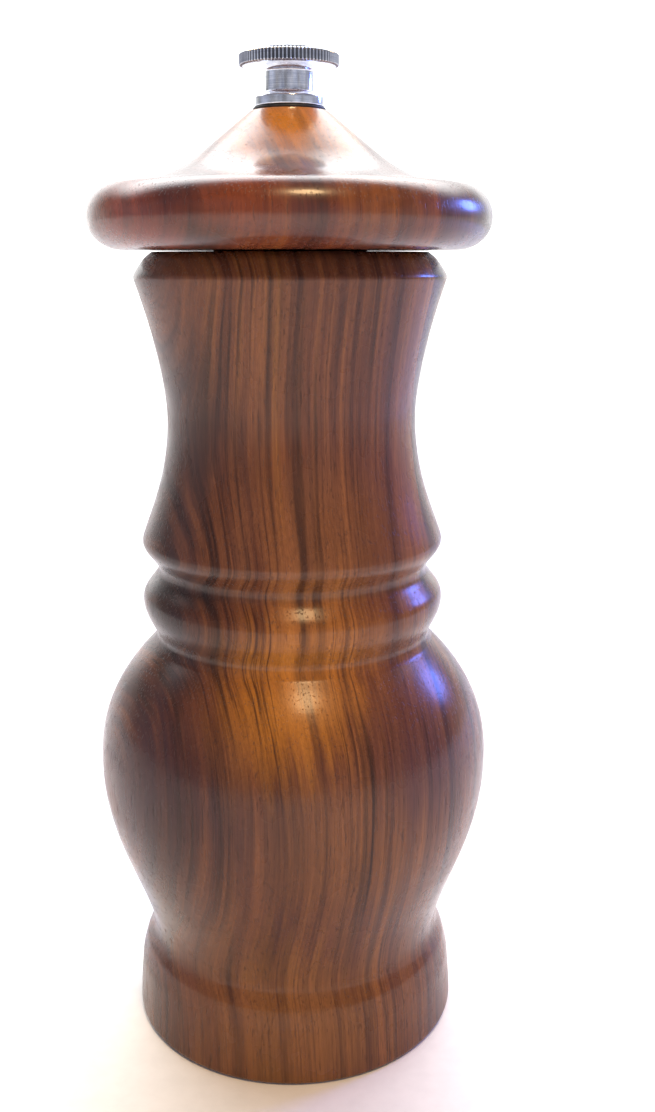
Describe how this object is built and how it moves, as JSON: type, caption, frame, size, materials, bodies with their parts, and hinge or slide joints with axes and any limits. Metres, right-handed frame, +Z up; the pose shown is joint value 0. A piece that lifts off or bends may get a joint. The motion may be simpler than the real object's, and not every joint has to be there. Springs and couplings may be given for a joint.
{
  "type": "pepper mill",
  "caption": "Turned hardwood pepper mill with a belly, a beaded waist, a waisted neck, a wide disc head with a cone and a knurled metal finial nut over a square-shaft burr mechanism.",
  "frame": {"origin": "centre of the foot's underside, on the surface the mill stands on", "axes": "+Z up along the turning axis, from the foot to the finial nut; +X along the retaining bar and the bridge bar"},
  "size_m": [0.0728, 0.0728, 0.1778],
  "materials": {
    "body_wood": "oiled and buffed rosewood, satin gloss",
    "head_wood": "oiled and buffed rosewood, satin gloss",
    "housing_nylon": "moulded nylon",
    "burr_steel": "hardened, dark grey",
    "plate_steel": "stamped, zinc plated",
    "screw_steel": "zinc plated",
    "spring_steel": "bright drawn wire",
    "shaft_aluminium": "drawn square bar",
    "bush_brass": "turned",
    "washer_fibre": "black fibre",
    "nut_chrome": "polished"
  },
  "bodies": {
    "mill_body": {"body": "body_wood", "burr_housing": "housing_nylon", "stator_ring": "burr_steel", "bridge_bar": "plate_steel", "guide_bush": "bush_brass", "bridge_rivet_1": "screw_steel", "bridge_rivet_2": "screw_steel", "retaining_bar": "plate_steel", "bar_screw_1": "screw_steel", "bar_screw_2": "screw_steel"},
    "spring_carrier": {"spring": "spring_steel", "spring_washer": "plate_steel"},
    "shaft": {"shaft": "shaft_aluminium", "rotor_burr": "burr_steel", "thrust_washer": "bush_brass", "shaft_clip": "spring_steel"},
    "head": {"head": "head_wood", "turn_plate": "plate_steel", "plate_screw_1": "screw_steel", "plate_screw_2": "screw_steel", "plate_screw_3": "screw_steel", "nut_washer": "washer_fibre"},
    "nut": {"finial_nut": "nut_chrome"}
  },
  "joints": [
    {"name": "head_turn", "type": "hinge", "parent": "mill_body", "child": "spring_carrier", "pos_m": [0, 0, 0.145], "axis": [0, 0, 1], "continuous": true},
    {"name": "shaft_slide", "type": "slide", "parent": "spring_carrier", "child": "shaft", "axis": [0, 0, 1], "range_m": [0, 0.002], "stiffness_N_per_m": 1500, "springref_m": -0.002, "deforming": ["spring"]},
    {"name": "head_lift", "type": "slide", "parent": "spring_carrier", "child": "head", "axis": [0, 0, 1], "range_m": [0, 0.045]},
    {"name": "nut_turn", "type": "hinge", "parent": "head", "child": "nut", "pos_m": [0, 0, 0.17], "axis": [0, 0, 1], "range_deg": [-681, 0]}
  ],
  "couplings": [
    {"joint": "nut_turn", "follows": "shaft_slide", "rad_per_m": -5938.7}
  ]
}
